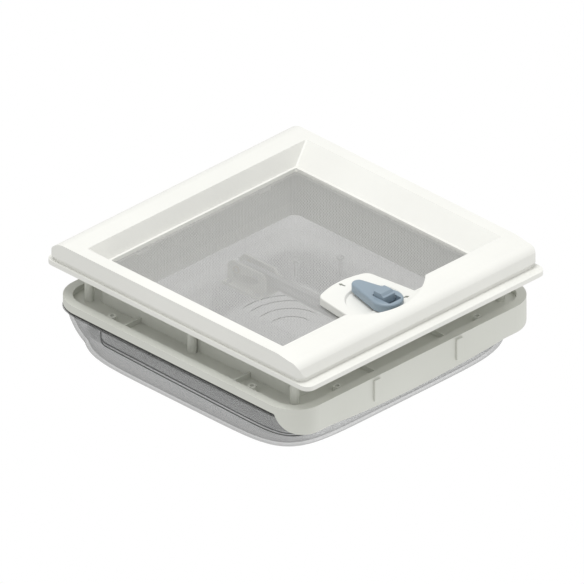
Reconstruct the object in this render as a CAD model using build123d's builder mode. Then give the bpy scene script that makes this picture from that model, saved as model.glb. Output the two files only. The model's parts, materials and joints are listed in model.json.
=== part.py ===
"""Crank-operated roof vent for a caravan: outer frame with glazed dome above the roof,
trim frame with fly screen below it, and a worm drive between them.

Frame: origin at the centre of the roof cut-out on the roof's outer skin, +Z up to the sky,
+Y towards the dome's hinges. The crank sits in the front bar of the trim frame, at -Y.
"""

import os
from math import cos, radians, sin

from build123d import *

# Roof and outer frame
roof_gap = 29.2
outer_size = 324.0
outer_corner = 32.5
rim_height = 8.0
deck_thickness = 2.0
band_width = 9.3
collar_size = 262.0
collar_corner = 12.0
collar_wall = 2.0
upstand_top = 18.0
skirt_wall = 3.0
skirt_end_height = 27.6
skirt_mid_height = 33.0
skirt_reach = -134.5
post_diameter = 9.2
post_offset = 135.0
fixing_offset = 148.0
fixing_pitch = 184.0
fixing_hole = 4.5

# Dome
seal_height = 1.9
seal_squeeze = 0.3
glazing = 2.5
dome_top = 60.0
dome_base_half = 158.4
dome_shoulder_half = 154.7
dome_shoulder_front = -143.4
dome_shoulder_corner = 66.0
dome_edge_radius = 9.0
inner_half = 147.0
inner_front = -142.0
inner_top = 40.0
field_x = (-63.0, 54.0)
field_y = (-70.0, 64.0)
field_bottom = 0.0
hinge_y = 167.0
hinge_z = 13.0
hinge_x = 92.0
open_angle = 30.0

# Trim frame
trim_half = 157.6
trim_front = -174.4
trim_back = 171.6
trim_top = -roof_gap
trim_bottom = -55.0
lip_bottom = -33.5
body_top = -38.5
ridge_inner = -128.0
opening_half = 121.7
opening_back = 120.0
seat_floor = -34.6

# Crank and drive
crank_x = 9.0
crank_y = -116.0
plate_top = -40.0
plate_bottom = -44.1
lever_top = -45.6
lever_bottom = -54.3
lever_tail_y = -86.5
lever_tail_radius = 6.8
lever_head_y = -130.5
lever_head_radius = 15.5
grip_half_width = 7.4
grip_pin_y = -132.5
grip_pin_z = -51.5
worm_radius = 4.5
wheel_radius = 12.2
wheel_y = -99.0
wheel_z = -16.0
arm_length = 150.0
arm_x = (13.0, 19.0)
roller_radius = 4.0
slot_clearance = 0.35

os.makedirs("parts", exist_ok=True)


def save(piece, name):
    """Label one finished piece and write its STEP file."""
    piece.label = name
    export_step(piece, f"parts/{name}.step")


def arm_tip(angle):
    """Place of the lift arm's tip pin in the (Y, Z) plane at a dome angle in degrees."""
    turn = radians(angle)
    return wheel_y + arm_length * cos(turn), wheel_z + arm_length * sin(turn)


def tip_on_dome(angle):
    """The same tip seen from the dome, which has turned by the same angle about its hinge."""
    turn = radians(angle)
    y, z = arm_tip(angle)
    dy, dz = y - hinge_y, z - hinge_z
    return hinge_y + dy * cos(turn) - dz * sin(turn), hinge_z + dy * sin(turn) + dz * cos(turn)


# ---------------------------------------------------------------- outer frame
post_spots = [(sx * post_offset, sy * post_offset) for sx in (-1, 1) for sy in (-1, 1)]
post_spots += [(sx * post_offset, 0) for sx in (-1, 1)]
fixing_spots = [(sx * fixing_offset, sy * fixing_pitch / 2) for sx in (-1, 1) for sy in (-1, 1)]
fixing_spots += [(y, x) for x, y in fixing_spots]

with BuildPart() as outer_frame:
    with BuildSketch():
        RectangleRounded(outer_size, outer_size, outer_corner)
        RectangleRounded(
            outer_size - 2 * band_width,
            outer_size - 2 * band_width,
            outer_corner - band_width,
            mode=Mode.SUBTRACT,
        )
    extrude(amount=rim_height)
    with BuildSketch(Plane.XY.offset(rim_height - deck_thickness)):
        RectangleRounded(outer_size - band_width, outer_size - band_width, outer_corner - band_width / 2)
        RectangleRounded(
            collar_size - 2 * collar_wall,
            collar_size - 2 * collar_wall,
            collar_corner - collar_wall,
            mode=Mode.SUBTRACT,
        )
    extrude(amount=deck_thickness)
    with BuildSketch(Plane.XY.offset(-roof_gap + 2.0)):
        RectangleRounded(collar_size, collar_size, collar_corner)
        RectangleRounded(
            collar_size - 2 * collar_wall,
            collar_size - 2 * collar_wall,
            collar_corner - collar_wall,
            mode=Mode.SUBTRACT,
        )
    extrude(amount=roof_gap - 2.0 + upstand_top)
    # Screw posts down the corners and the middle of each side, and roof fixing bosses
    with BuildSketch(Plane.XY.offset(-roof_gap)):
        with Locations(*post_spots):
            Circle(post_diameter / 2)
    extrude(amount=roof_gap + rim_height)
    with BuildSketch():
        with Locations(*fixing_spots):
            Circle(4.2)
    extrude(amount=rim_height)
    # Gussets across the channel
    with BuildSketch(Plane.XY.offset(0.6)):
        with Locations(*[(sx * 141.5, sy * 72.0) for sx in (-1, 1) for sy in (-1, 1)]):
            Rectangle(23.0, 2.0)
        with Locations(*[(sx * 46.0, sy * 141.5) for sx in (-1, 1) for sy in (-1, 1)]):
            Rectangle(2.0, 23.0)
    extrude(amount=rim_height - 1.0)
    # Skirt: a raised wall on the front that wraps both corners
    with BuildSketch(Plane.XY.offset(rim_height)):
        RectangleRounded(outer_size, outer_size, outer_corner)
        RectangleRounded(
            outer_size - 2 * skirt_wall,
            outer_size - 2 * skirt_wall,
            outer_corner - skirt_wall,
            mode=Mode.SUBTRACT,
        )
        with Locations((0, skirt_reach)):
            Rectangle(2 * outer_size, 2 * outer_size, align=(Align.CENTER, Align.MIN), mode=Mode.SUBTRACT)
    extrude(amount=skirt_mid_height + 2.0 - rim_height)
    # Sweep of the skirt down to the rim, seen from the side
    with BuildSketch(Plane.YZ):
        with BuildLine():
            sweep_curve = ThreePointArc(
                (skirt_reach, rim_height), (-143.0, 20.0), (-outer_size / 2 - 2.0, skirt_end_height + 0.5)
            )
            Polyline(
                sweep_curve @ 1,
                (-outer_size / 2 - 2.0, skirt_mid_height + 5.0),
                (skirt_reach + 1.0, skirt_mid_height + 5.0),
                (skirt_reach + 1.0, rim_height),
                sweep_curve @ 0,
            )
        make_face()
    extrude(amount=outer_size, both=True, mode=Mode.SUBTRACT)
    # Middle of the skirt rises a little above its ends
    with BuildSketch(Plane.XZ.offset(outer_size / 2)):
        with BuildLine():
            ThreePointArc(
                (-125.0, skirt_end_height - 0.6),
                (0, skirt_mid_height),
                (125.0, skirt_end_height - 0.6),
            )
            Line((125.0, skirt_end_height - 0.6), (-125.0, skirt_end_height - 0.6))
        make_face()
    extrude(amount=-skirt_wall)
    # Screw holes with head recesses in the deck, roof fixing holes, sealed edge
    with Locations(Plane.XY.offset(rim_height)):
        with Locations(*post_spots):
            CounterBoreHole(
                radius=2.2,
                counter_bore_radius=4.0,
                counter_bore_depth=2.6,
                depth=roof_gap + rim_height,
            )
        with Locations(*fixing_spots):
            Hole(fixing_hole / 2, depth=rim_height)
save(outer_frame.part, "outer_frame")

# Two raised snap clips on the skirt
for side, name in ((1, "skirt_clip_left"), (-1, "skirt_clip_right")):
    with BuildPart() as skirt_clip:
        with BuildSketch(Plane.XZ.offset(outer_size / 2)):
            with Locations((side * 54.0, 14.2)):
                RectangleRounded(8.5, 23.0, 1.2)
        extrude(amount=1.8)
        fillet(skirt_clip.faces().sort_by(Axis.Y)[0].edges(), 0.7)
    save(skirt_clip.part, name)

# ---------------------------------------------------------------- dome
seal_bottom = rim_height
flange_bottom = rim_height + seal_height
notch_y = skirt_reach + 2.5


def rim_outline(outset):
    """Plan outline of the seal and the dome's rim, narrower where it runs inside the skirt."""
    wide = outer_size + 2 * outset
    narrow = 2 * dome_base_half + 2 * outset
    RectangleRounded(wide, wide, outer_corner + outset)
    with Locations((0, notch_y)):
        Rectangle(2 * outer_size, outer_size, align=(Align.CENTER, Align.MAX), mode=Mode.SUBTRACT)
    RectangleRounded(narrow, narrow, outer_corner - 4.0 + outset)


with BuildPart() as dome_seal:
    with BuildSketch(Plane.XY.offset(seal_bottom)):
        rim_outline(0.0)
        RectangleRounded(308.0, 308.0, 25.0, mode=Mode.SUBTRACT)
    extrude(amount=seal_height - seal_squeeze)
save(dome_seal.part, "dome_seal")


def dome_profile(inset):
    """Tray that tapers from the rim to a shoulder with wide corners, then a rounded edge."""
    half = dome_base_half - inset
    shoulder = dome_shoulder_half - inset
    front = dome_shoulder_front + inset
    depth = shoulder - front
    with BuildPart() as tray:
        with BuildSketch(Plane.XY.offset(flange_bottom)):
            RectangleRounded(2 * half, 2 * half, outer_corner - 4.0 - inset)
        with BuildSketch(Plane.XY.offset(dome_top - inset)):
            with Locations((0, (shoulder + front) / 2)):
                RectangleRounded(2 * shoulder, depth, dome_shoulder_corner - inset)
        loft()
        fillet(tray.faces().sort_by(Axis.Z)[-1].edges(), dome_edge_radius)
    return tray.part


dome_outside = dome_profile(0.0)
dome_inside = dome_profile(glazing)

with BuildPart() as outer_glazing:
    add(dome_outside)
    with BuildSketch(Plane.XY.offset(flange_bottom)):
        rim_outline(-0.5)
    extrude(amount=glazing)
    add(dome_inside, mode=Mode.SUBTRACT)
save(outer_glazing.part, "outer_glazing")

inner_depth = inner_half - 1.0 - inner_front
inner_centre = (inner_half - 1.0 + inner_front) / 2
inner_base = flange_bottom
field_width = field_x[1] - field_x[0]
field_depth = field_y[1] - field_y[0]
field_centre = ((field_x[0] + field_x[1]) / 2, (field_y[0] + field_y[1]) / 2)
sheet_wall = 2.0

with BuildPart() as inner_glazing:
    with BuildSketch(Plane.XY.offset(inner_base)):
        RectangleRounded(2 * (dome_base_half - 3.8), 2 * (dome_base_half - 3.8), outer_corner - 6.5)
    extrude(amount=sheet_wall)
    with BuildSketch(Plane.XY.offset(inner_base)):
        with Locations((0, inner_centre)):
            RectangleRounded(2 * inner_half, inner_depth, 34.0)
    extrude(amount=inner_top - inner_base)
    fillet(inner_glazing.faces().sort_by(Axis.Z)[-1].edges(), 5.0)
    with BuildSketch(Plane.XY.offset(inner_base)):
        with Locations((0, inner_centre)):
            RectangleRounded(2 * (inner_half - sheet_wall), inner_depth - 2 * sheet_wall, 32.0)
    extrude(amount=inner_top - sheet_wall - inner_base, mode=Mode.SUBTRACT)
    # Central field pressed down towards the cabin
    with BuildSketch(Plane.XY.offset(field_bottom)):
        with Locations(field_centre):
            RectangleRounded(field_width, field_depth, 15.0)
    with BuildSketch(Plane.XY.offset(inner_top)):
        with Locations(field_centre):
            RectangleRounded(field_width + 10.0, field_depth + 10.0, 20.0)
    loft()
    with BuildSketch(Plane.XY.offset(field_bottom + sheet_wall)):
        with Locations(field_centre):
            RectangleRounded(field_width - 2 * sheet_wall, field_depth - 2 * sheet_wall, 13.0)
    with BuildSketch(Plane.XY.offset(inner_top + 0.01)):
        with Locations(field_centre):
            RectangleRounded(field_width + 10.0 - 2 * sheet_wall, field_depth + 10.0 - 2 * sheet_wall, 18.0)
    loft(mode=Mode.SUBTRACT)
save(inner_glazing.part, "inner_glazing")

# Mushroom-headed studs that stand from the pressed field towards the screen
stud_spots = [(-24.0, 23.0), (-56.0, -4.0)]
with BuildPart() as glazing_studs:
    with BuildSketch(Plane.XY.offset(field_bottom)):
        with Locations(*stud_spots):
            Circle(1.6)
    extrude(amount=-17.0)
    with BuildSketch(Plane.XY.offset(field_bottom - 17.0)):
        with Locations(*stud_spots):
            Circle(3.6)
    extrude(amount=-2.4)
    fillet(glazing_studs.edges().filter_by(GeomType.CIRCLE).group_by(Axis.Z)[0], 1.6)
save(glazing_studs.part, "glazing_studs")

# ---------------------------------------------------------------- hinges
knuckle_radius = 4.5
knuckle_width = 11.4
pin_radius = 2.0
for side, tag in ((1, "left"), (-1, "right")):
    x = side * hinge_x
    with BuildPart() as hinge_bracket:
        with BuildSketch(Plane.XZ.offset(-outer_size / 2)):
            with Locations((x, rim_height / 2)):
                RectangleRounded(34.0, rim_height - 0.6, 1.5)
        extrude(amount=-2.4)
        for ear in (-1, 1):
            with BuildSketch(Plane.YZ.offset(x + ear * 9.0 - 2.9)):
                with BuildLine():
                    Polyline(
                        (outer_size / 2, 1.0),
                        (outer_size / 2, rim_height),
                        (hinge_y - knuckle_radius, hinge_z),
                    )
                    ThreePointArc(
                        (hinge_y - knuckle_radius, hinge_z),
                        (hinge_y, hinge_z + knuckle_radius),
                        (hinge_y + knuckle_radius, hinge_z),
                    )
                    Polyline(
                        (hinge_y + knuckle_radius, hinge_z),
                        (outer_size / 2 + 2.4, 1.0),
                        (outer_size / 2, 1.0),
                    )
                make_face()
                with Locations((hinge_y, hinge_z)):
                    Circle(pin_radius, mode=Mode.SUBTRACT)
            extrude(amount=5.8)
    save(hinge_bracket.part, f"hinge_bracket_{tag}")

    with BuildPart() as hinge_leaf:
        with BuildSketch(Plane.YZ.offset(x - knuckle_width / 2)):
            with Locations((hinge_y, hinge_z)):
                Circle(knuckle_radius)
            with Locations(((hinge_y + dome_base_half + 0.2) / 2, hinge_z + 1.1)):
                Rectangle(hinge_y - dome_base_half - 0.2, 3.2)
            with Locations((hinge_y, hinge_z)):
                Circle(pin_radius + 0.05, mode=Mode.SUBTRACT)
        extrude(amount=knuckle_width)
        with BuildSketch(Plane.XZ.offset(-dome_base_half - 0.2)):
            with Locations((x, 22.7)):
                RectangleRounded(22.0, 20.2, 3.0)
        extrude(amount=-2.2)
        with Locations(Plane.XZ.offset(-dome_base_half - 2.4)):
            with Locations((x - 6.5, 26.0), (x + 6.5, 26.0)):
                Hole(1.6, depth=2.2)
    save(hinge_leaf.part, f"hinge_leaf_{tag}")

    with BuildPart() as hinge_pin:
        with BuildSketch(Plane.YZ.offset(x - 12.4)):
            with Locations((hinge_y, hinge_z)):
                Circle(pin_radius)
        extrude(amount=24.8)
    save(hinge_pin.part, f"hinge_pin_{tag}")

leaf_screw_spots = [(side * hinge_x + dx, 26.0) for side in (-1, 1) for dx in (-6.5, 6.5)]
with BuildPart() as leaf_screws:
    with BuildSketch(Plane.XZ.offset(-dome_base_half - 2.4)):
        with Locations(*leaf_screw_spots):
            Circle(2.8)
    extrude(amount=-1.6)
    fillet(leaf_screws.faces().sort_by(Axis.Y)[-1].edges(), 0.8)
    with BuildSketch(Plane.XZ.offset(-dome_base_half - 2.4)):
        with Locations(*leaf_screw_spots):
            Circle(1.5)
    extrude(amount=2.3)
save(leaf_screws.part, "leaf_screws")

# ---------------------------------------------------------------- trim frame
trim_width = 2 * trim_half
trim_depth = trim_back - trim_front
trim_centre = (trim_back + trim_front) / 2
funnel_top = -37.0
front_face = -164.6
back_face = 167.9
land_height = 0.4

with BuildPart() as inner_frame:
    with BuildSketch(Plane.XY.offset(lip_bottom)):
        with Locations((0, trim_centre)):
            RectangleRounded(trim_width, trim_depth, 9.0)
    extrude(amount=trim_top - lip_bottom)
    with BuildSketch(Plane.XY.offset(body_top)):
        with Locations((0, (front_face + back_face) / 2)):
            RectangleRounded(trim_width - 6.0, back_face - front_face - 3.0, 8.0)
    extrude(amount=lip_bottom - body_top)
    with BuildSketch(Plane.XY.offset(trim_bottom)):
        with Locations((0, (front_face + back_face) / 2)):
            RectangleRounded(trim_width - 1.6, back_face - front_face, 8.0)
    extrude(amount=body_top - trim_bottom)
    # Bullnose along the front bar
    with BuildSketch(Plane.YZ):
        with BuildLine():
            Line((front_face, body_top), (-161.5, -47.0))
            ThreePointArc((-161.5, -47.0), (-157.9, -50.8), (-150.2, -52.6))
            Line((-150.2, -52.6), (ridge_inner - 6.0, trim_bottom))
            Polyline(
                (ridge_inner - 6.0, trim_bottom),
                (ridge_inner - 6.0, trim_bottom - 3.0),
                (front_face - 3.0, trim_bottom - 3.0),
                (front_face - 3.0, body_top),
                (front_face, body_top),
            )
        make_face()
    extrude(amount=trim_width, both=True, mode=Mode.SUBTRACT)
    # Rounded back bar
    with BuildSketch(Plane.YZ):
        with BuildLine():
            ThreePointArc((back_face, body_top), (161.5, -49.2), (144.6, trim_bottom))
            Polyline(
                (144.6, trim_bottom),
                (144.6, trim_bottom - 3.0),
                (back_face + 3.0, trim_bottom - 3.0),
                (back_face + 3.0, body_top),
                (back_face, body_top),
            )
        make_face()
    extrude(amount=trim_width, both=True, mode=Mode.SUBTRACT)
    # Bevelled funnel down to the lip round the opening
    with BuildSketch(Plane.XY.offset(trim_bottom)):
        with Locations((0, (ridge_inner + 128.8) / 2)):
            RectangleRounded(2 * 144.3, 128.8 - ridge_inner, 2.0)
    with BuildSketch(Plane.XY.offset(funnel_top)):
        with Locations((0, (ridge_inner + 122.6) / 2)):
            RectangleRounded(2 * 124.4, 122.6 - ridge_inner, 2.0)
    loft(mode=Mode.SUBTRACT)
    with BuildSketch(Plane.XY.offset(-42.0)):
        with Locations((0, (ridge_inner + opening_back) / 2)):
            RectangleRounded(2 * opening_half, opening_back - ridge_inner, 2.0)
    extrude(amount=14.0, mode=Mode.SUBTRACT)
    # Seat for the screen frame, on the roof side
    with BuildSketch(Plane.XY.offset(seat_floor)):
        with Locations((0, -1.2)):
            Rectangle(2 * 124.6, 247.6)
    extrude(amount=trim_top - seat_floor + 1.0, mode=Mode.SUBTRACT)
    # Hollow side bars
    for side in (-1, 1):
        with BuildSketch(Plane.XZ.offset(-128.0)):
            with BuildLine():
                Polyline(
                    (side * 127.4, trim_top + 1.0),
                    (side * 154.2, trim_top + 1.0),
                    (side * 154.2, -52.2),
                    (side * 145.2, -52.2),
                    (side * 127.4, -37.6),
                    close=True,
                )
            make_face()
        extrude(amount=250.0, mode=Mode.SUBTRACT)
    # Hollow front and back bars
    with BuildSketch(Plane.YZ.offset(-118.0)):
        with BuildLine():
            Polyline(
                (ridge_inner - 2.6, trim_top + 1.0),
                (-160.5, trim_top + 1.0),
                (-160.5, -42.0),
                (-157.0, -48.0),
                (-150.0, -49.8),
                (ridge_inner - 2.6, -52.0),
                close=True,
            )
        make_face()
    extrude(amount=236.0, mode=Mode.SUBTRACT)
    with BuildSketch(Plane.YZ.offset(-118.0)):
        with BuildLine():
            Polyline(
                (132.0, trim_top + 1.0),
                (163.4, trim_top + 1.0),
                (163.4, -40.0),
                (157.0, -48.0),
                (146.0, -51.4),
                (135.0, -51.4),
                close=True,
            )
        make_face()
    extrude(amount=236.0, mode=Mode.SUBTRACT)
    # Raised land round the lip that meets the ceiling
    with BuildSketch(Plane.XY.offset(trim_top)):
        with Locations((0, trim_centre)):
            RectangleRounded(trim_width, trim_depth, 9.0)
            RectangleRounded(trim_width - 9.0, trim_depth - 9.0, 4.5, mode=Mode.SUBTRACT)
    extrude(amount=land_height)
    # Screw bosses under the posts
    with BuildSketch(Plane.XY.offset(-42.0)):
        with Locations(*post_spots):
            Circle(5.0)
    extrude(amount=trim_top + 42.0)
    with Locations(Plane.XY.offset(trim_top)):
        with Locations(*post_spots):
            Hole(2.0, depth=11.0)
    # Scoop in the ridge around the crank
    with BuildSketch(Plane.XY.offset(trim_bottom - 1.0)):
        with BuildLine():
            ThreePointArc(
                (crank_x - 54.0, ridge_inner + 1.0), (crank_x, -149.5), (crank_x + 54.0, ridge_inner + 1.0)
            )
            Line((crank_x + 54.0, ridge_inner + 1.0), (crank_x - 54.0, ridge_inner + 1.0))
        make_face()
    extrude(amount=plate_bottom - trim_bottom + 1.0, mode=Mode.SUBTRACT)
    with BuildSketch(Plane.XY.offset(plate_bottom)):
        with BuildLine():
            ThreePointArc(
                (crank_x - 56.0, ridge_inner), (crank_x, -152.0), (crank_x + 56.0, ridge_inner)
            )
            Line((crank_x + 56.0, ridge_inner), (crank_x - 56.0, ridge_inner))
        make_face()
    extrude(amount=2.4)
save(inner_frame.part, "inner_frame")

# ---------------------------------------------------------------- screen
screen_z = -33.4
screen_border = 2.2
notch_half = 26.5
notch_back = -81.0
screen_x = 124.2
screen_front = -124.6
screen_back = 122.2


def screen_outline(inset):
    """Opening outline with a notch around the drive housing."""
    with Locations((0, (screen_front + screen_back) / 2)):
        RectangleRounded(2 * (screen_x - inset), screen_back - screen_front - 2 * inset, 4.0)
    with Locations((crank_x, screen_front - 10.0)):
        Rectangle(
            2 * (notch_half + inset),
            notch_back - screen_front + 10.0 + inset,
            align=(Align.CENTER, Align.MIN),
            mode=Mode.SUBTRACT,
        )


with BuildPart() as screen_frame:
    with BuildSketch(Plane.XY.offset(seat_floor)):
        screen_outline(0.0)
    extrude(amount=4.5)
    with BuildSketch(Plane.XY.offset(seat_floor)):
        screen_outline(screen_border)
    extrude(amount=4.5, mode=Mode.SUBTRACT)
save(screen_frame.part, "screen_frame")

with BuildPart() as fly_screen:
    with BuildSketch(Plane.XY.offset(screen_z)):
        screen_outline(screen_border)
    extrude(amount=0.4)
save(fly_screen.part, "fly_screen")

clip_spots = [(sx * 80.0, sy) for sx in (-1, 1) for sy in (screen_front + 1.6, screen_back - 1.6)]
with BuildPart() as screen_clips:
    with BuildSketch(Plane.XY.offset(seat_floor + 4.5)):
        with Locations(*clip_spots):
            RectangleRounded(16.0, 3.2, 1.2)
    extrude(amount=1.5)
save(screen_clips.part, "screen_clips")

# Sleeve that lines the cut-out inside the collar
sleeve_outer = collar_size - 2 * collar_wall - 1.0
with BuildPart() as neck_sleeve:
    with BuildSketch(Plane.XY.offset(trim_top)):
        RectangleRounded(sleeve_outer, sleeve_outer, collar_corner - collar_wall - 0.5)
        RectangleRounded(
            sleeve_outer - 3.2,
            sleeve_outer - 3.2,
            collar_corner - collar_wall - 2.1,
            mode=Mode.SUBTRACT,
        )
    extrude(amount=32.0)
    with BuildSketch(Plane.XY.offset(trim_top)):
        RectangleRounded(sleeve_outer, sleeve_outer, collar_corner - collar_wall - 0.5)
        RectangleRounded(251.0, 251.0, 6.0, mode=Mode.SUBTRACT)
    extrude(amount=1.6)
save(neck_sleeve.part, "neck_sleeve")

# ---------------------------------------------------------------- crank plate
plate_back = -66.0
plate_back_half = 32.5
plate_front_half = 39.5


def plate_outline(inset):
    """Tongue that widens towards the front bar and has a bowed free edge."""
    left = crank_x - plate_back_half + inset
    right = crank_x + plate_back_half - inset
    with BuildSketch() as outline:
        with BuildLine():
            ThreePointArc(
                (left, plate_back - 7.0 - inset),
                (crank_x, plate_back - inset),
                (right, plate_back - 7.0 - inset),
            )
            Polyline(
                (right, plate_back - 7.0 - inset),
                (crank_x + plate_front_half - inset, ridge_inner),
                (crank_x - plate_front_half + inset, ridge_inner),
                (left, plate_back - 7.0 - inset),
            )
        make_face()
        fillet(outline.vertices().group_by(Axis.Y)[-1], 9.0)
    return outline.sketch


plate_face = plate_outline(0.0)
plate_hollow = plate_outline(2.2)

with BuildPart() as crank_plate:
    with BuildSketch(Plane.XY.offset(plate_bottom)):
        add(plate_face)
    extrude(amount=8.0)
    fillet(crank_plate.faces().sort_by(Axis.Z)[0].edges().filter_by(GeomType.CIRCLE), 1.4)
    with BuildSketch(Plane.XY.offset(plate_top)):
        add(plate_hollow)
    extrude(amount=6.0, mode=Mode.SUBTRACT)
    # Shallow dish and the hub's bore
    with BuildSketch(Plane.XY.offset(plate_bottom)):
        with Locations((crank_x, crank_y + 2.0)):
            Circle(28.0)
        with Locations((crank_x, ridge_inner + 0.5)):
            Rectangle(100.0, 60.0, align=(Align.CENTER, Align.MAX), mode=Mode.SUBTRACT)
    extrude(amount=2.2, taper=35.0, mode=Mode.SUBTRACT)
    with BuildSketch(Plane.XY.offset(plate_bottom)):
        with Locations((crank_x, crank_y)):
            Circle(8.3)
    extrude(amount=10.0, mode=Mode.SUBTRACT)
save(crank_plate.part, "crank_plate")

# ---------------------------------------------------------------- crank
pocket_front = -142.0
pocket_back = -118.2
pocket_depth = 6.2
pin_half_length = 11.5
tail_centre_y = lever_tail_y - lever_tail_radius
with BuildPart() as crank_lever:
    # Teardrop: a narrow tail and a wide round head joined by their common tangents
    with BuildSketch(Plane.XY.offset(lever_bottom)):
        with Locations((crank_x, tail_centre_y)):
            Circle(lever_tail_radius)
        with Locations((crank_x, lever_head_y)):
            Circle(lever_head_radius)
        make_hull()
    extrude(amount=lever_top - lever_bottom)
    fillet(crank_lever.faces().sort_by(Axis.Z)[0].edges(), 2.2)
    with BuildSketch(Plane.XY.offset(lever_top)):
        with Locations((crank_x, crank_y)):
            Circle(8.0)
    extrude(amount=plate_top - lever_top)
    # Pocket for the folding grip
    with BuildSketch(Plane.XY.offset(lever_bottom)):
        with Locations((crank_x, (pocket_front + pocket_back) / 2)):
            RectangleRounded(2 * grip_half_width + 1.2, pocket_back - pocket_front, 2.0)
    extrude(amount=pocket_depth, mode=Mode.SUBTRACT)
    # Square socket for the spindle, grip pin holes
    with BuildSketch(Plane.XY.offset(-45.5)):
        with Locations((crank_x, crank_y)):
            Rectangle(5.0, 5.0)
    extrude(amount=8.0, mode=Mode.SUBTRACT)
    with BuildSketch(Plane.YZ.offset(crank_x - pin_half_length)):
        with Locations((grip_pin_y, grip_pin_z)):
            Circle(1.2)
    extrude(amount=2 * pin_half_length, mode=Mode.SUBTRACT)
save(crank_lever.part, "crank_lever")

grip_length = 14.6
grip_heel = 1.6
grip_low = -59.6
grip_step = -57.2
with BuildPart() as crank_grip:
    with BuildSketch(Plane.YZ.offset(crank_x - grip_half_width)):
        with BuildLine():
            Polyline(
                (grip_pin_y - grip_heel, -49.3),
                (grip_pin_y - grip_heel + grip_length, -49.3),
                (grip_pin_y - grip_heel + grip_length, grip_low),
                (grip_pin_y + 3.0, grip_low),
                (grip_pin_y + 1.2, grip_step),
                (grip_pin_y - grip_heel, grip_step),
                close=True,
            )
        make_face()
    extrude(amount=2 * grip_half_width)
    fillet(crank_grip.edges().filter_by(Axis.Z), 1.2)
    fillet(crank_grip.faces().sort_by(Axis.Z)[0].edges(), 0.8)
    with BuildSketch(Plane.YZ.offset(crank_x - grip_half_width)):
        with Locations((grip_pin_y, grip_pin_z)):
            Circle(1.25)
    extrude(amount=2 * grip_half_width, mode=Mode.SUBTRACT)
save(crank_grip.part, "crank_grip")

with BuildPart() as grip_pin:
    with BuildSketch(Plane.YZ.offset(crank_x - pin_half_length)):
        with Locations((grip_pin_y, grip_pin_z)):
            Circle(1.2)
    extrude(amount=2 * pin_half_length)
save(grip_pin.part, "grip_pin")

with BuildPart() as drive_spindle:
    with BuildSketch(Plane.XY.offset(-45.5)):
        with Locations((crank_x, crank_y)):
            Rectangle(5.0, 5.0)
    extrude(amount=8.0)
    with BuildSketch(Plane.XY.offset(-37.5)):
        with Locations((crank_x, crank_y)):
            Circle(3.0)
    extrude(amount=35.4)
    with BuildSketch(Plane.XY.offset(-28.0)):
        with Locations((crank_x, crank_y)):
            Circle(worm_radius)
    extrude(amount=22.0)
    for turn in range(9):
        with BuildSketch(Plane.XY.offset(-26.6 + turn * 2.2)):
            with Locations((crank_x, crank_y)):
                Circle(worm_radius)
                Circle(worm_radius - 1.2, mode=Mode.SUBTRACT)
        extrude(amount=1.1, mode=Mode.SUBTRACT)
save(drive_spindle.part, "drive_spindle")

with BuildPart() as lever_screw:
    with BuildSketch(Plane.XY.offset(lever_bottom - 0.6)):
        with Locations((crank_x, crank_y)):
            Circle(1.9)
    extrude(amount=0.6)
save(lever_screw.part, "lever_screw")

# ---------------------------------------------------------------- drive housing
housing_x = (-15.0, 33.0)
housing_y = (-125.5, -84.0)
housing_z = (-37.5, -1.5)
housing_wall = 2.0
shaft_radius = 3.0
housing_centre = ((housing_x[0] + housing_x[1]) / 2, (housing_y[0] + housing_y[1]) / 2)
housing_width = housing_x[1] - housing_x[0]
housing_depth = housing_y[1] - housing_y[0]

with BuildPart() as drive_housing:
    with BuildSketch(Plane.XY.offset(housing_z[0])):
        with Locations(housing_centre):
            RectangleRounded(housing_width, housing_depth, 4.0)
    extrude(amount=housing_z[1] - housing_z[0])
    fillet(drive_housing.faces().sort_by(Axis.Z)[-1].edges(), 2.0)
    with BuildSketch(Plane.XY.offset(housing_z[0])):
        with Locations(housing_centre):
            RectangleRounded(housing_width - 2 * housing_wall, housing_depth - 2 * housing_wall, 2.0)
    extrude(amount=housing_z[1] - housing_z[0] - housing_wall, mode=Mode.SUBTRACT)
    # Slot the lift arm rises through, shaft bores, spindle bearing bore
    with BuildSketch(Plane.XY.offset(-24.0)):
        with Locations(((arm_x[0] + arm_x[1]) / 2, -106.0)):
            Rectangle(arm_x[1] - arm_x[0] + 2.0, 40.0, align=(Align.CENTER, Align.MIN))
    extrude(amount=30.0, mode=Mode.SUBTRACT)
    with BuildSketch(Plane.YZ.offset(housing_x[0] - 1.0)):
        with Locations((wheel_y, wheel_z)):
            Circle(shaft_radius)
    extrude(amount=housing_width + 2.0, mode=Mode.SUBTRACT)
    with BuildSketch(Plane.XY.offset(housing_z[1] - housing_wall - 1.0)):
        with Locations((crank_x, crank_y)):
            Circle(5.0)
    extrude(amount=housing_wall + 2.0, mode=Mode.SUBTRACT)
save(drive_housing.part, "drive_housing")

with BuildPart() as upper_bush:
    with BuildSketch(Plane.XY.offset(housing_z[1] - housing_wall)):
        with Locations((crank_x, crank_y)):
            Circle(5.0)
            Circle(3.05, mode=Mode.SUBTRACT)
    extrude(amount=2.0)
save(upper_bush.part, "upper_bush")

cover_screw_spots = [(x, y) for x in (-8.0, 26.0) for y in (-119.5, -90.0)]
with BuildPart() as housing_cover:
    with BuildSketch(Plane.XY.offset(housing_z[0] - 1.8)):
        with Locations(housing_centre):
            RectangleRounded(housing_width, housing_depth, 4.0)
        with Locations((crank_x, crank_y)):
            Circle(5.0, mode=Mode.SUBTRACT)
        with Locations(*cover_screw_spots):
            Circle(1.5, mode=Mode.SUBTRACT)
    extrude(amount=1.8)
save(housing_cover.part, "housing_cover")

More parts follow.
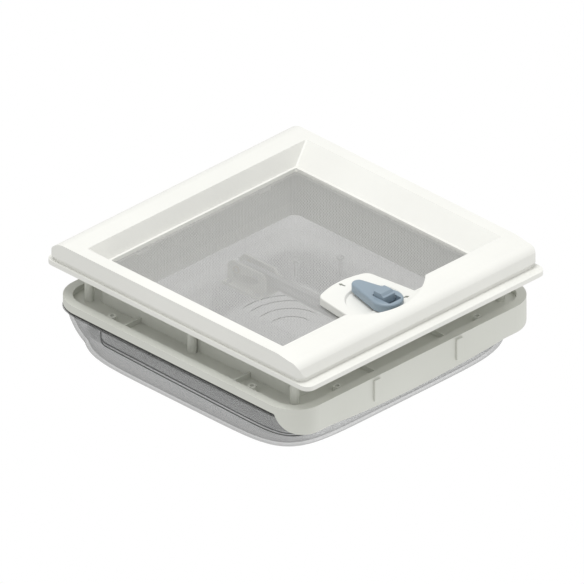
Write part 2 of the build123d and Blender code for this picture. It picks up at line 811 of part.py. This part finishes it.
with BuildPart() as lower_bush:
    with BuildSketch(Plane.XY.offset(housing_z[0] - 1.8)):
        with Locations((crank_x, crank_y)):
            Circle(5.0)
            Circle(3.6, mode=Mode.SUBTRACT)
    extrude(amount=1.8)
    with BuildSketch(Plane.XY.offset(housing_z[0])):
        with Locations((crank_x, crank_y)):
            Circle(6.5)
            Circle(3.05, mode=Mode.SUBTRACT)
    extrude(amount=1.5)
save(lower_bush.part, "lower_bush")

with BuildPart() as cover_screws:
    with BuildSketch(Plane.XY.offset(housing_z[0] - 1.8)):
        with Locations(*cover_screw_spots):
            Circle(2.6)
    extrude(amount=-0.7)
    with BuildSketch(Plane.XY.offset(housing_z[0] - 1.8)):
        with Locations(*cover_screw_spots):
            Circle(1.5)
    extrude(amount=1.8)
save(cover_screws.part, "cover_screws")

with BuildPart() as wheel_shaft:
    with BuildSketch(Plane.YZ.offset(housing_x[0] - 0.5)):
        with Locations((wheel_y, wheel_z)):
            Circle(shaft_radius)
    extrude(amount=housing_width + 1.0)
save(wheel_shaft.part, "wheel_shaft")

# Worm wheel with straight teeth that stop just short of the worm
tooth_count = 36
wheel_x = (5.0, 13.0)
with BuildPart() as worm_wheel:
    with BuildSketch(Plane.YZ.offset(wheel_x[0])):
        with Locations((wheel_y, wheel_z)):
            Circle(wheel_radius - 1.5)
            with PolarLocations(wheel_radius - 1.2, tooth_count):
                Rectangle(2.4, 1.05)
            Circle(shaft_radius + 0.05, mode=Mode.SUBTRACT)
    extrude(amount=wheel_x[1] - wheel_x[0])
save(worm_wheel.part, "worm_wheel")

tip_y, tip_z = arm_tip(0.0)
with BuildPart() as lift_arm:
    with BuildSketch(Plane.YZ.offset(arm_x[0])):
        with Locations((wheel_y, wheel_z)):
            Circle(9.0)
        with BuildLine():
            Polyline(
                (wheel_y, wheel_z + 7.0),
                (tip_y, tip_z + 5.0),
                (tip_y, tip_z - 5.0),
                (wheel_y, wheel_z - 8.0),
                close=True,
            )
        make_face()
        with Locations((tip_y, tip_z)):
            Circle(5.0)
        with Locations((wheel_y, wheel_z)):
            Circle(shaft_radius + 0.05, mode=Mode.SUBTRACT)
        with Locations((tip_y, tip_z)):
            Circle(2.0, mode=Mode.SUBTRACT)
        with Locations(((wheel_y + tip_y) / 2 + 6.0, wheel_z)):
            SlotOverall(84.0, 5.0, mode=Mode.SUBTRACT)
    extrude(amount=arm_x[1] - arm_x[0])
save(lift_arm.part, "lift_arm")

rail_plate = 3.0
rail_centres = (arm_x[0] - 5.0, arm_x[1] + 5.0)
with BuildPart() as tip_pin:
    with BuildSketch(Plane.YZ.offset(rail_centres[0] - 2.6)):
        with Locations((tip_y, tip_z)):
            Circle(2.0)
    extrude(amount=rail_centres[1] - rail_centres[0] + 5.2)
save(tip_pin.part, "tip_pin")

for centre, name in zip(rail_centres, ("tip_roller_left", "tip_roller_right")):
    with BuildPart() as tip_roller:
        with BuildSketch(Plane.YZ.offset(centre - 2.0)):
            with Locations((tip_y, tip_z)):
                Circle(roller_radius)
                Circle(2.05, mode=Mode.SUBTRACT)
        extrude(amount=4.0)
    save(tip_roller.part, name)

# Slotted rail on the dome: the slot follows the tip's path for equal arm and dome angles
slot_steps = 10
path = [tip_on_dome(open_angle * step / slot_steps) for step in range(slot_steps + 1)]
rail_y = (14.0, 63.0)
with BuildPart() as dome_rail:
    for centre in rail_centres:
        with BuildSketch(Plane.YZ.offset(centre - rail_plate / 2)):
            with BuildLine():
                Polyline(
                    (rail_y[0], field_bottom),
                    (rail_y[1], field_bottom),
                    (rail_y[1], -18.0),
                    (rail_y[1] - 6.0, -23.5),
                    (rail_y[0] + 4.0, -23.5),
                    (rail_y[0], -19.0),
                    close=True,
                )
            make_face()
            for start, end in zip(path[:-1], path[1:]):
                middle = ((start[0] + end[0]) / 2, (start[1] + end[1]) / 2)
                run = Vector(end[0] - start[0], end[1] - start[1], 0)
                turn = run.get_signed_angle(Vector(1, 0, 0), Vector(0, 0, -1))
                with Locations(Location((middle[0], middle[1], 0), (0, 0, turn))):
                    SlotCenterToCenter(
                        run.length, 2 * (roller_radius + slot_clearance), mode=Mode.SUBTRACT
                    )
        extrude(amount=rail_plate)
    with BuildSketch(Plane.XY.offset(field_bottom - 2.0)):
        with Locations(((rail_centres[0] + rail_centres[1]) / 2, (rail_y[0] + rail_y[1]) / 2)):
            Rectangle(rail_centres[1] - rail_centres[0] + rail_plate + 14.0, rail_y[1] - rail_y[0])
    extrude(amount=2.0)
save(dome_rail.part, "dome_rail")

rail_screw_spots = [(rail_centres[0] - 5.2, y) for y in (20.0, 57.0)] + [
    (rail_centres[1] + 5.2, y) for y in (20.0, 57.0)
]
with BuildPart() as rail_screws:
    with BuildSketch(Plane.XY.offset(field_bottom - 2.0)):
        with Locations(*rail_screw_spots):
            Circle(2.4)
    extrude(amount=-1.4)
save(rail_screws.part, "rail_screws")

# Screws from the deck through the posts into the trim frame
with BuildPart() as mounting_screws:
    with BuildSketch(Plane.XY.offset(rim_height - 2.6)):
        with Locations(*post_spots):
            Circle(3.7)
    extrude(amount=2.3)
    with BuildSketch(Plane.XY.offset(trim_top - 10.0)):
        with Locations(*post_spots):
            Circle(2.0)
    extrude(amount=rim_height - 2.6 - trim_top + 10.0)
save(mounting_screws.part, "mounting_screws")
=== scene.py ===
"""Looks for the crank-operated roof vent: materials, screen, dome, marks, camera and light."""
import json
import math

import bmesh
import bpy
from mathutils import Matrix, Vector


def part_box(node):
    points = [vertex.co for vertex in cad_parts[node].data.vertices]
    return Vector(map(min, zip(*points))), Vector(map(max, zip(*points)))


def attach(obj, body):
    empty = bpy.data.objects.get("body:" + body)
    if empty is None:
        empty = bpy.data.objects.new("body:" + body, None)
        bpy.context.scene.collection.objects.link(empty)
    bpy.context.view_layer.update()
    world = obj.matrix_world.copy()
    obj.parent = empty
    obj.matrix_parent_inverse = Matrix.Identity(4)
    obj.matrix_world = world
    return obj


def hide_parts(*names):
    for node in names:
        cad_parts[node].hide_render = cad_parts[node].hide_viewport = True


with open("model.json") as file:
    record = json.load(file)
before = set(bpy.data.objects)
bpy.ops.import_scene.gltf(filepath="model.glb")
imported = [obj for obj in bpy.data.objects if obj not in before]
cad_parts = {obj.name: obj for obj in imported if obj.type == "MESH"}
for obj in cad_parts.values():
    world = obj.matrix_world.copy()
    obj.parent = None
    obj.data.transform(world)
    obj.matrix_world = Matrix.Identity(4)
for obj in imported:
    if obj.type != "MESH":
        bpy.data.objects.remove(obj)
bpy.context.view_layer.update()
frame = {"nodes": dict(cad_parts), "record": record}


# ---------------------------------------------------------------- node helpers
class Shader:
    """A material with a Principled shader and short calls for the nodes that feed it."""

    def __init__(self, name):
        self.material = bpy.data.materials.new(name)
        self.material.use_nodes = True
        self.nodes = self.material.node_tree.nodes
        self.links = self.material.node_tree.links
        self.nodes.clear()
        self.out = self.nodes.new("ShaderNodeOutputMaterial")
        self.bsdf = self.nodes.new("ShaderNodeBsdfPrincipled")
        self.links.new(self.bsdf.outputs[0], self.out.inputs[0])

    def place(self, scale=1.0):
        """Object-space coordinates, scaled."""
        coords = self.nodes.new("ShaderNodeTexCoord")
        mapping = self.nodes.new("ShaderNodeMapping")
        if isinstance(scale, (int, float)):
            scale = (scale,) * 3
        mapping.inputs["Scale"].default_value = scale
        self.links.new(coords.outputs["Object"], mapping.inputs[0])
        return mapping.outputs[0]

    def noise(self, scale, detail=3.0, rough=0.5):
        node = self.nodes.new("ShaderNodeTexNoise")
        node.inputs["Scale"].default_value = scale
        node.inputs["Detail"].default_value = detail
        node.inputs["Roughness"].default_value = rough
        self.links.new(self.place(), node.inputs["Vector"])
        return node.outputs[0]

    def ramp(self, value, stops):
        node = self.nodes.new("ShaderNodeValToRGB")
        while len(node.color_ramp.elements) < len(stops):
            node.color_ramp.elements.new(0.5)
        for element, (position, colour) in zip(node.color_ramp.elements, stops):
            element.position = position
            element.color = (*colour, 1.0) if len(colour) == 3 else colour
        self.links.new(value, node.inputs[0])
        return node.outputs[0]

    def spread(self, value, low, high):
        """Map a 0..1 value to low..high."""
        node = self.nodes.new("ShaderNodeMapRange")
        node.inputs["To Min"].default_value = low
        node.inputs["To Max"].default_value = high
        self.links.new(value, node.inputs["Value"])
        return node.outputs[0]

    def maths(self, operation, first, second=None):
        node = self.nodes.new("ShaderNodeMath")
        node.operation = operation
        for socket, value in zip(node.inputs, (first, second)):
            if value is None:
                continue
            if isinstance(value, (int, float)):
                socket.default_value = value
            else:
                self.links.new(value, socket)
        return node.outputs[0]

    def inside(self, centre, half):
        """1 within a rectangle of object-space x and y, else 0."""
        split = self.nodes.new("ShaderNodeSeparateXYZ")
        self.links.new(self.place(), split.inputs[0])
        within = []
        for axis in (0, 1):
            offset = self.maths("SUBTRACT", split.outputs[axis], centre[axis])
            within.append(self.maths("LESS_THAN", self.maths("ABSOLUTE", offset), half[axis]))
        return self.maths("MULTIPLY", within[0], within[1])

    def bump(self, height, strength, distance):
        node = self.nodes.new("ShaderNodeBump")
        node.inputs["Strength"].default_value = strength
        node.inputs["Distance"].default_value = distance
        self.links.new(height, node.inputs["Height"])
        self.links.new(node.outputs[0], self.bsdf.inputs["Normal"])

    def feed(self, **sockets):
        """Set or link the shader's sockets; underscores stand for spaces."""
        for name, value in sockets.items():
            socket = self.bsdf.inputs[name.replace("_", " ")]
            if isinstance(value, (int, float, tuple)):
                socket.default_value = value
            else:
                self.links.new(value, socket)


def moulded(name, low, high, roughness=(0.3, 0.42), grain=0.00004, coat=0.0):
    """Injection-moulded plastic: faint colour drift, uneven gloss and a fine grain."""
    s = Shader(name)
    s.feed(Base_Color=s.ramp(s.noise(9.0), [(0.3, low), (0.7, high)]))
    s.feed(Roughness=s.spread(s.noise(60.0), *roughness), Coat_Weight=coat, Coat_Roughness=0.15)
    s.bump(s.noise(2600.0, 2.0), 0.25, grain)
    return s.material


def metal(name, low, high, roughness):
    """Drawn or plated metal with fine streaks along Y."""
    s = Shader(name)
    streaks = s.nodes.new("ShaderNodeTexNoise")
    streaks.inputs["Scale"].default_value = 900.0
    s.links.new(s.place((1.0, 0.04, 1.0)), streaks.inputs["Vector"])
    s.feed(Base_Color=s.ramp(streaks.outputs[0], [(0.3, low), (0.7, high)]), Metallic=1.0)
    s.feed(Roughness=s.spread(streaks.outputs[0], *roughness))
    s.bump(streaks.outputs[0], 0.2, 0.00003)
    return s.material


# Centre and half size of the pressed field of the inner glazing, and the share of tint left in it
FIELD_WINDOW = ((-0.0045, -0.003), (0.0585, 0.067))
WINDOW_CLEARNESS = 0.1


def see_through(name, low, high, alpha, edge, roughness=(0.04, 0.12), specular=0.5, window=None):
    """Thermoformed acrylic: tinted, denser where it is seen edge-on; a window may be left clearer."""
    s = Shader(name)
    s.feed(Base_Color=s.ramp(s.noise(7.0), [(0.3, low), (0.7, high)]))
    s.feed(Roughness=s.spread(s.noise(40.0), *roughness), Specular_IOR_Level=specular)
    facing = s.nodes.new("ShaderNodeLayerWeight")
    facing.inputs["Blend"].default_value = 0.25
    drift = s.spread(s.noise(5.0), -0.012, 0.012)
    density = s.maths("ADD", s.spread(facing.outputs["Facing"], alpha, edge), drift)
    if window:
        density = s.maths("MULTIPLY", density, s.spread(s.inside(*window), 1.0, WINDOW_CLEARNESS))
    s.feed(Alpha=density)
    s.bump(s.noise(12.0, 0.0), 0.03, 0.0001)
    return s.material


def rubber():
    s = Shader("seal_rubber")
    stops = [(0.3, (0.012, 0.012, 0.012)), (0.7, (0.03, 0.03, 0.028))]
    s.feed(Base_Color=s.ramp(s.noise(300.0), stops))
    s.feed(Roughness=s.spread(s.noise(500.0), 0.55, 0.75))
    s.bump(s.noise(1500.0), 0.4, 0.00008)
    return s.material


MESH_SPACING = 0.0019
THREAD_HALF_SHARE = 0.2


def woven():
    """Fly mesh: two crossing sets of threads with open holes between them."""
    s = Shader("fly_mesh")
    place = s.place(1.0 / MESH_SPACING)
    split = s.nodes.new("ShaderNodeSeparateXYZ")
    s.links.new(place, split.inputs[0])
    threads = []
    for axis in (0, 1):
        wave = s.maths("FRACT", split.outputs[axis])
        centred = s.maths("ABSOLUTE", s.maths("SUBTRACT", wave, 0.5))
        threads.append(s.maths("LESS_THAN", centred, THREAD_HALF_SHARE))
    cover = s.maths("MAXIMUM", threads[0], threads[1])
    stops = [(0.3, (0.38, 0.38, 0.375)), (0.7, (0.48, 0.48, 0.47))]
    s.feed(Base_Color=s.ramp(s.noise(2000.0), stops))
    s.feed(Roughness=s.spread(s.noise(900.0), 0.6, 0.8), Alpha=cover)
    s.bump(s.maths("ADD", threads[0], threads[1]), 0.3, 0.0001)
    return s.material


# ---------------------------------------------------------------- materials of the CAD nodes
trim_white = moulded(
    "trim_white", (0.80, 0.80, 0.765), (0.84, 0.84, 0.805), (0.28, 0.38), 0.00003, 0.15
)
frame_white = moulded("frame_white", (0.64, 0.65, 0.60), (0.69, 0.70, 0.65), (0.42, 0.55), 0.00006)
sleeve_white = moulded("sleeve_white", (0.56, 0.57, 0.53), (0.62, 0.63, 0.58), (0.45, 0.6))
crank_blue = moulded(
    "crank_blue", (0.24, 0.305, 0.365), (0.275, 0.345, 0.405), (0.3, 0.42), 0.00004, 0.1
)
acetal = moulded("acetal", (0.68, 0.64, 0.54), (0.74, 0.70, 0.6), (0.35, 0.5))
steel = metal("plated_steel", (0.72, 0.72, 0.73), (0.84, 0.84, 0.84), (0.42, 0.6))
brass = metal("bush_brass", (0.55, 0.40, 0.16), (0.68, 0.52, 0.24), (0.25, 0.4))
smoked = see_through(
    "smoked_acrylic", (0.29, 0.295, 0.295), (0.33, 0.335, 0.335), 0.12, 0.80, (0.18, 0.26), 0.2
)
clear = see_through(
    "clear_acrylic", (0.38, 0.39, 0.39), (0.44, 0.45, 0.45), 0.13, 0.30, window=FIELD_WINDOW
)
BY_SLOT = {
    "trim_plastic": trim_white,
    "frame_plastic": frame_white,
    "sleeve_plastic": sleeve_white,
    "hinge_plastic": frame_white,
    "housing_plastic": trim_white,
    "rail_plastic": trim_white,
    "crank_plastic": crank_blue,
    "gear_plastic": acetal,
    "screw_steel": steel,
    "gear_steel": steel,
    "arm_steel": steel,
    "bush_brass": brass,
    "smoked_acrylic": smoked,
    "clear_acrylic": clear,
    "seal_rubber": rubber(),
    "screen_mesh": woven(),
}
for subpart in frame["record"]["subparts"]:
    node = frame["nodes"][subpart["node"]]
    node.data.materials.clear()
    node.data.materials.append(BY_SLOT[subpart["material_slot"]])


# ---------------------------------------------------------------- piece helpers
def add_piece(name, mesh, body, material, smooth=True):
    """Link a mesh as a piece that rides on a body and takes the given finish."""
    mesh.materials.append(material)
    if smooth:
        mesh.shade_smooth()
    piece = bpy.data.objects.new(name, mesh)
    bpy.context.scene.collection.objects.link(piece)
    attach(piece, body)
    return piece


def add_line(name, points, radius, body, material):
    """A thin round bead along points."""
    curve = bpy.data.curves.new(name, "CURVE")
    curve.dimensions = "3D"
    curve.bevel_depth = radius
    curve.bevel_resolution = 2
    spline = curve.splines.new("POLY")
    spline.points.add(len(points) - 1)
    for target, point in zip(spline.points, points):
        target.co = (*point, 1.0)
    curve.materials.append(material)
    piece = bpy.data.objects.new(name, curve)
    bpy.context.scene.collection.objects.link(piece)
    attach(piece, body)
    return piece


def smoothstep(low, high, value):
    t = min(max((value - low) / (high - low), 0.0), 1.0)
    return t * t * (3.0 - 2.0 * t)


# ---------------------------------------------------------------- fly screen sheet
def spaced(low, high, count):
    return [low + (high - low) * i / count for i in range(count)]


SCREEN_MARGIN = 0.0075
SCREEN_NOTCH_BACK = 0.008
SCREEN_DIP = 0.0006
EPSILON = 1e-6


def screen_mesh():
    """One flat sheet with a notch round the drive, slack enough to dip a little between its edges."""
    low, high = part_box("fly_screen")
    housing_low, housing_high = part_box("drive_housing")
    notch_left, notch_right = housing_low.x - SCREEN_MARGIN, housing_high.x + SCREEN_MARGIN
    notch_back = housing_high.y + SCREEN_NOTCH_BACK
    xs = spaced(low.x, notch_left, 24) + spaced(notch_left, notch_right, 14)
    xs += spaced(notch_right, high.x, 20) + [high.x]
    ys = spaced(low.y, notch_back, 10) + spaced(notch_back, high.y, 44) + [high.y]
    middle = (low + high) / 2
    half = (high - low) / 2
    bm = bmesh.new()
    grid = {}
    for i, x in enumerate(xs):
        for j, y in enumerate(ys):
            across = 1.0 - ((x - middle.x) / half.x) ** 2
            along = 1.0 - ((y - middle.y) / half.y) ** 2
            grid[i, j] = bm.verts.new((x, y, middle.z - SCREEN_DIP * across * along))
    for i in range(len(xs) - 1):
        for j in range(len(ys) - 1):
            beside_drive = notch_left - EPSILON < xs[i] < notch_right - EPSILON
            if not (beside_drive and ys[j] < notch_back - EPSILON):
                bm.faces.new((grid[i, j], grid[i + 1, j], grid[i + 1, j + 1], grid[i, j + 1]))
    bmesh.ops.delete(bm, geom=[v for v in bm.verts if not v.link_faces], context="VERTS")
    area = sum(f.calc_area() for f in bm.faces)
    mesh = bpy.data.meshes.new("fly_screen_weave")
    bm.to_mesh(mesh)
    bm.free()
    return mesh, (high.x - low.x, high.y - low.y), area


weave, weave_size, weave_area = screen_mesh()
fly_screen = add_piece("fly_screen_weave", weave, "frame", BY_SLOT["screen_mesh"])
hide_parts("fly_screen")

# ---------------------------------------------------------------- dome
RIM_HALF = 0.1584
RIM_SQUARENESS = 12.7
TOP_SQUARENESS = 6.4
TOP_SIDE = 0.1578
TOP_FRONT = 0.1502
TOP_REAR = 0.1510
TOP_HALVES = (TOP_SIDE, TOP_FRONT, TOP_REAR)
EDGE_RADIUS = 0.0149
CROWN = 0.0018
WALL_EASE = 1.46
SHELL = 0.0024
FLANGE = 0.0030
FLANGE_LIFTS = (0.0025, 0.0022, 0.0002, 0.0)
RIM_LIFT = 0.0026
FLANGE_FADE_Y = (-0.134, -0.130)
PAD_MIN_Y = 0.12
PAD_FADE_X = (0.022, 0.014)
PAD_FADE_Z = (0.040, 0.034)
PAD_INSET = 0.0003
WALL_STEPS = 12
EDGE_STEPS = 10
CROWN_STEPS = 13
dome_low, dome_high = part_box("outer_glazing")
HINGE_X = (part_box("hinge_leaf_left")[0].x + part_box("hinge_leaf_left")[1].x) / 2


def dome_ring(z, side, front, rear, squareness, flange=0.0, count=256):
    """Rounded square ring with bowed sides; the flange stops where the rim runs inside the skirt."""
    ring = []
    for step in range(count):
        angle = 2 * math.pi * step / count
        c, s = math.cos(angle), math.sin(angle)
        depth = rear if s >= 0 else front
        reach = ((abs(c) / side) ** squareness + (abs(s) / depth) ** squareness) ** (-1.0 / squareness)
        x, y = reach * c, reach * s
        grow = 1.0 + flange / side * smoothstep(*FLANGE_FADE_Y, y)
        x, y = x * grow, y * grow
        if y > PAD_MIN_Y and not flange:
            pad = smoothstep(*PAD_FADE_X, abs(abs(x) - HINGE_X)) * smoothstep(*PAD_FADE_Z, z)
            y += (RIM_HALF - PAD_INSET - y) * pad
        ring.append(Vector((x, y, z)))
    return ring


def dome_levels(inset):
    """Ring settings from the rim up the wall, round the edge and over the crown."""
    top = dome_high.z - inset - CROWN
    wall_top = top - EDGE_RADIUS
    levels = []
    for step in range(WALL_STEPS + 1):
        f = step / WALL_STEPS
        ease = f**WALL_EASE
        mix = [RIM_HALF + (end - RIM_HALF) * ease - inset for end in TOP_HALVES]
        z = dome_low.z + (wall_top - dome_low.z) * f
        levels.append((z, *mix, RIM_SQUARENESS + (TOP_SQUARENESS - RIM_SQUARENESS) * ease))
    for step in range(1, EDGE_STEPS + 1):
        turn = math.pi / 2 * step / EDGE_STEPS
        back_off = EDGE_RADIUS * (1.0 - math.cos(turn)) + inset
        z = wall_top + EDGE_RADIUS * math.sin(turn)
        levels.append((z, *(end - back_off for end in TOP_HALVES), TOP_SQUARENESS))
    for step in range(1, CROWN_STEPS):
        f = 1.0 - step / CROWN_STEPS
        edge = EDGE_RADIUS + inset
        z = top + CROWN * (1.0 - f * f)
        squareness = 2.0 + (TOP_SQUARENESS - 2.0) * f
        levels.append((z, *((end - edge) * f for end in TOP_HALVES), squareness))
    return levels


def dome_mesh():
    """Closed shell: outer skin with a flange at its rim, joined to the inner skin."""
    outside = [dome_ring(*level) for level in reversed(dome_levels(0.0))]
    inside = [dome_ring(*level) for level in dome_levels(SHELL)]
    rim = (RIM_HALF, RIM_HALF, RIM_HALF, RIM_SQUARENESS, FLANGE)
    flange = [dome_ring(dome_low.z + lift, *rim) for lift in FLANGE_LIFTS]
    outside[-1] = dome_ring(dome_low.z + RIM_LIFT, RIM_HALF, RIM_HALF, RIM_HALF, RIM_SQUARENESS)
    bm = bmesh.new()
    rings = [[bm.verts.new(p) for p in ring] for ring in outside + flange + inside]
    for first, second in zip(rings[:-1], rings[1:]):
        for i in range(len(first)):
            j = (i + 1) % len(first)
            bm.faces.new((first[i], first[j], second[j], second[i]))
    for ring, z in ((rings[0], dome_high.z), (rings[-1], dome_high.z - SHELL)):
        tip = bm.verts.new((0.0, 0.0, z))
        for i in range(len(ring)):
            bm.faces.new((ring[i], ring[(i + 1) % len(ring)], tip))
    bmesh.ops.recalc_face_normals(bm, faces=bm.faces)
    mesh = bpy.data.meshes.new("dome_shell")
    bm.to_mesh(mesh)
    bm.free()
    return mesh


dome = add_piece("dome_shell", dome_mesh(), "dome", smoked)
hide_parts("outer_glazing")

# Double line in the dome's wall: it leaves the seal near the rear, runs forward and round the front
line_material = moulded("glazing_edge", (0.045, 0.047, 0.048), (0.06, 0.062, 0.064), (0.2, 0.3))
LINE_REAR_STEP = 22
LINE_LAST_STEP = -96
LINE_RADIUS = 0.0006
LINE_TOP_Z = 0.0165
RISE_RADIUS = 0.006
RISE_STEPS = 9
LINE_FALL = 0.0050
wall_top = dome_high.z - CROWN - EDGE_RADIUS
for name, line_z in (("glazing_edge_low", 0.0272), ("glazing_edge_high", 0.0306)):
    ease = ((line_z - dome_low.z) / (wall_top - dome_low.z)) ** WALL_EASE
    mix = [RIM_HALF + (end - RIM_HALF) * ease - SHELL for end in TOP_HALVES]
    ring = dome_ring(line_z, *mix, RIM_SQUARENESS + (TOP_SQUARENESS - RIM_SQUARENESS) * ease)
    run = [ring[step].copy() for step in range(LINE_REAR_STEP, LINE_LAST_STEP, -1)]
    start = run[0].copy()
    for point in run:
        point.z += LINE_FALL * min((start.y - point.y) / (start.y + TOP_FRONT), 1.0)
    rise = [Vector((start.x, start.y + RISE_RADIUS, LINE_TOP_Z))]
    for step in range(RISE_STEPS):
        angle = math.pi / 2 * step / RISE_STEPS
        lift = Vector((0.0, math.cos(angle), 1.0 - math.sin(angle))) * RISE_RADIUS
        rise.append(start + Vector((0.0, lift.y, -lift.z)))
    add_line(name, rise + run, LINE_RADIUS, "dome", line_material)

# Ripples pressed into the near corner of the field
RIPPLE_CENTRE = Vector((0.062, -0.062))
RIPPLE_Z = -0.0006
RIPPLE_RADIUS = 0.0005
RIPPLE_BULGE = 0.10
RIPPLE_STEPS = 24
ripple_material = moulded("ripple_edge", (0.16, 0.165, 0.165), (0.2, 0.205, 0.205), (0.2, 0.3))
for number, (radius, start, end) in enumerate(
    ((0.077, 96, 160), (0.068, 98, 158), (0.055, 100, 156), (0.041, 102, 154))
):
    arc = []
    for step in range(RIPPLE_STEPS + 1):
        angle = math.radians(start + (end - start) * step / RIPPLE_STEPS)
        stretch = 1.0 + RIPPLE_BULGE * math.sin(math.pi * step / RIPPLE_STEPS)
        place = RIPPLE_CENTRE + Vector((math.cos(angle), math.sin(angle))) * radius * stretch
        arc.append((place.x, place.y, RIPPLE_Z))
    add_line(f"field_ripple_{number}", arc, RIPPLE_RADIUS, "dome", ripple_material)


# ---------------------------------------------------------------- crank plate marks
def arrow_mesh(name, place, angle, height):
    """A small raised turn arrow: a straight stem and a head."""
    stem, width, head = 0.0042, 0.0006, 0.0018
    outline = [
        (-stem, -width),
        (0.0, -width),
        (0.0, -head),
        (stem * 0.75, 0.0),
        (0.0, head),
        (0.0, width),
        (-stem, width),
    ]
    bm = bmesh.new()
    c, s = math.cos(angle), math.sin(angle)
    low, high = place.z - height, place.z
    rows = [
        [bm.verts.new((place.x + x * c - y * s, place.y + x * s + y * c, z)) for x, y in outline]
        for z in (low, high)
    ]
    bm.faces.new(rows[0])
    bm.faces.new(reversed(rows[1]))
    for i in range(len(outline)):
        j = (i + 1) % len(outline)
        bm.faces.new((rows[0][j], rows[0][i], rows[1][i], rows[1][j]))
    bmesh.ops.recalc_face_normals(bm, faces=bm.faces)
    mesh = bpy.data.meshes.new(name)
    bm.to_mesh(mesh)
    bm.free()
    return mesh


mark_grey = moulded("mark_grey", (0.16, 0.17, 0.15), (0.22, 0.23, 0.2), (0.4, 0.5))
plate_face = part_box("crank_plate")[0].z
MARK_HEIGHT = 0.0003
for name, x, y, angle in (
    ("turn_mark_rear", 0.011, -0.0725, 80.0),
    ("turn_mark_front", -0.0155, -0.131, 200.0),
):
    mark = arrow_mesh(name, Vector((x, y, plate_face)), math.radians(angle), MARK_HEIGHT)
    add_piece(name, mark, "frame", mark_grey, smooth=False)

# ---------------------------------------------------------------- camera and light
SPAN = 0.5431
DISTANCE = 1.5
camera_data = bpy.data.cameras.new("camera")
camera_data.type = "ORTHO"
camera_data.ortho_scale = SPAN
camera = bpy.data.objects.new("camera", camera_data)
bpy.context.scene.collection.objects.link(camera)
bpy.context.scene.camera = camera
HALF = math.sqrt(0.5)
TILT = math.radians(30.0)
right = Vector((-HALF, -HALF, 0.0))
up = Vector((-HALF * math.sin(TILT), HALF * math.sin(TILT), -math.cos(TILT)))
back = right.cross(up)
AIM = right * -0.0025 + up * 0.00195
turn = Matrix((right, up, back)).transposed()
camera.rotation_mode = "QUATERNION"
camera.rotation_quaternion = turn.to_quaternion()
camera.location = AIM + back * DISTANCE
camera_data.clip_start, camera_data.clip_end = 0.01, 20.0

GLOW_STRENGTH = 0.77

# White studio: the camera sees clean white, the object a softer glow.
world = bpy.data.worlds.new("studio")
bpy.context.scene.world = world
world.use_nodes = True
sky = world.node_tree.nodes
glow = sky["Background"]
glow.inputs[0].default_value = (1.0, 1.0, 0.985, 1.0)
glow.inputs[1].default_value = GLOW_STRENGTH
backdrop = sky.new("ShaderNodeBackground")
backdrop.inputs[0].default_value = (1.0, 1.0, 1.0, 1.0)
backdrop.inputs[1].default_value = 1.0
ray = sky.new("ShaderNodeLightPath")
choice = sky.new("ShaderNodeMixShader")
world.node_tree.links.new(ray.outputs["Is Camera Ray"], choice.inputs[0])
world.node_tree.links.new(glow.outputs[0], choice.inputs[1])
world.node_tree.links.new(backdrop.outputs[0], choice.inputs[2])
world.node_tree.links.new(choice.outputs[0], sky["World Output"].inputs[0])

FLOOR_HALF = 12.0
FLOOR_Z = -2.2
floor_mesh = bpy.data.meshes.new("floor")
corners = [
    (x * FLOOR_HALF, y * FLOOR_HALF, FLOOR_Z) for x, y in ((-1, -1), (1, -1), (1, 1), (-1, 1))
]
floor_mesh.from_pydata(corners, [], [(0, 1, 2, 3)])
floor = bpy.data.objects.new("floor", floor_mesh)
bpy.context.scene.collection.objects.link(floor)
floor_finish = Shader("floor_paint")
floor_stops = [(0.3, (0.86,) * 3), (0.7, (0.88,) * 3)]
floor_finish.feed(Base_Color=floor_finish.ramp(floor_finish.noise(0.8), floor_stops))
floor_finish.feed(Roughness=0.9)
floor.data.materials.append(floor_finish.material)


def softbox(name, place, size, watts):
    data = bpy.data.lights.new(name, "AREA")
    data.size, data.energy = size, watts
    lamp = bpy.data.objects.new(name, data)
    lamp.location = place
    lamp.rotation_mode = "QUATERNION"
    lamp.rotation_quaternion = (-Vector(place)).to_track_quat("-Z", "Y")
    lamp.visible_camera = False
    bpy.context.scene.collection.objects.link(lamp)


softbox("cabin_key", (0.28, -0.1, -1.6), 1.1, 15.0)
softbox("sky_key", (-0.9, -0.7, 1.7), 1.2, 18.0)

bpy.context.scene.view_settings.view_transform = "Standard"
